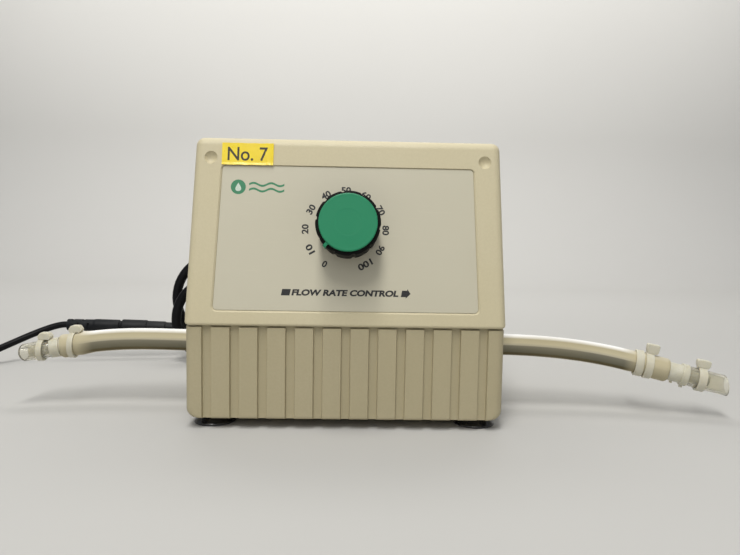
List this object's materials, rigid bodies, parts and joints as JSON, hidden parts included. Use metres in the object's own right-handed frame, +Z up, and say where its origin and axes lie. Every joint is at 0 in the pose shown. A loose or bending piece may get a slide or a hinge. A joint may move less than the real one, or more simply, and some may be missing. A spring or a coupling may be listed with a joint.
{
  "type": "peristaltic pump",
  "caption": "Benchtop peristaltic pump: sloping dial panel with a speed knob, roller head inside, flexible tube leaving both sides, mains cord with inline connector.",
  "frame": {"origin": "centre of the case's flat underside; the feet reach 5.5 mm below it", "axes": "+X to the operator's right, +Y to the back, +Z up; the sloping panel faces -Y"},
  "size_m": [0.4878, 0.2039, 0.1519],
  "materials": {
    "case_plastic": "satin moulded, faintly textured",
    "base_plastic": "satin moulded, faintly textured",
    "panel_film": "printed film, satin",
    "tape": "laminated tape",
    "knob_plastic": "satin",
    "cap_plastic": "satin",
    "brass": "machined",
    "steel": "plated",
    "aluminium": "satin",
    "board": "coated laminate",
    "blue_plastic": "moulded",
    "black_rubber": "matt",
    "black_plastic": "satin",
    "amber_tube": "translucent, smooth",
    "clear_tube": "clear, glossy",
    "white_nylon": "moulded nylon",
    "pale_nylon": "moulded nylon"
  },
  "bodies": {
    "case": {"top_cover": "case_plastic", "base_tray": "base_plastic", "fascia_label": "panel_film", "asset_label": "tape", "foot_front_left": "black_rubber", "foot_front_right": "black_rubber", "foot_back_left": "black_rubber", "foot_back_right": "black_rubber", "cord_grip": "black_rubber", "power_cord": "black_rubber", "supply_lead": "black_rubber", "motor_lead": "black_rubber", "case_screw_front_left": "steel", "case_screw_front_right": "steel", "case_screw_back_left": "steel", "case_screw_back_right": "steel", "pot_body": "steel", "pot_nut": "steel", "motor_can": "steel", "motor_screw_left": "steel", "motor_screw_right": "steel", "head_screw_left": "steel", "head_screw_right": "steel", "shaft_bush_front": "brass", "shaft_bush_rear": "brass", "motor_bracket": "aluminium", "heat_sink": "aluminium", "control_board": "board", "filter_capacitor": "blue_plastic", "terminal_block": "blue_plastic", "pump_bed": "black_plastic", "inline_jack": "black_plastic", "inline_plug": "black_plastic", "pump_tube": "amber_tube", "left_end_tube": "clear_tube", "right_end_tube": "clear_tube", "left_tie_inner": "white_nylon", "left_tie_outer": "white_nylon", "right_tie_inner": "white_nylon", "right_tie_middle": "white_nylon", "right_tie_outer": "white_nylon", "head_cover": "pale_nylon", "left_coupler": "pale_nylon", "right_coupler": "pale_nylon"},
    "knob": {"knob_body": "knob_plastic", "knob_cap": "cap_plastic", "knob_collet": "brass", "pot_shaft": "aluminium"},
    "rotor": {"rotor_shaft": "steel", "rotor_hub": "pale_nylon", "rotor_front_plate": "pale_nylon", "roller_pin_1": "steel", "roller_pin_2": "steel", "roller_pin_3": "steel", "drive_gear": "white_nylon"},
    "motor_spindle": {"motor_shaft": "steel", "drive_pinion": "brass"},
    "roller_a": {"roller_1": "white_nylon"},
    "roller_b": {"roller_2": "white_nylon"},
    "roller_c": {"roller_3": "white_nylon"}
  },
  "joints": [
    {"name": "knob_turn", "type": "hinge", "parent": "case", "child": "knob", "pos_m": [0.0005, -0.05999, 0.09881], "axis": [0, 0.9846, -0.175], "range_deg": [-14, 286]},
    {"name": "rotor_spin", "type": "hinge", "parent": "case", "child": "rotor", "pos_m": [0, -0.0175, 0.0537], "axis": [0, 1, 0], "continuous": true},
    {"name": "motor_spin", "type": "hinge", "parent": "case", "child": "motor_spindle", "pos_m": [0, 0.003, 0.08828], "axis": [0, 1, 0], "continuous": true},
    {"name": "roller_a_spin", "type": "hinge", "parent": "rotor", "child": "roller_a", "pos_m": [0, -0.0175, 0.0717], "axis": [0, 1, 0], "continuous": true},
    {"name": "roller_b_spin", "type": "hinge", "parent": "rotor", "child": "roller_b", "pos_m": [-0.01559, -0.0175, 0.0447], "axis": [0, 1, 0], "continuous": true},
    {"name": "roller_c_spin", "type": "hinge", "parent": "rotor", "child": "roller_c", "pos_m": [0.01559, -0.0175, 0.0447], "axis": [0, 1, 0], "continuous": true}
  ],
  "couplings": [
    {"joint": "motor_spin", "follows": "rotor_spin", "ratio": -4},
    {"joint": "roller_a_spin", "follows": "rotor_spin", "ratio": -4},
    {"joint": "roller_b_spin", "follows": "rotor_spin", "ratio": -4},
    {"joint": "roller_c_spin", "follows": "rotor_spin", "ratio": -4}
  ]
}
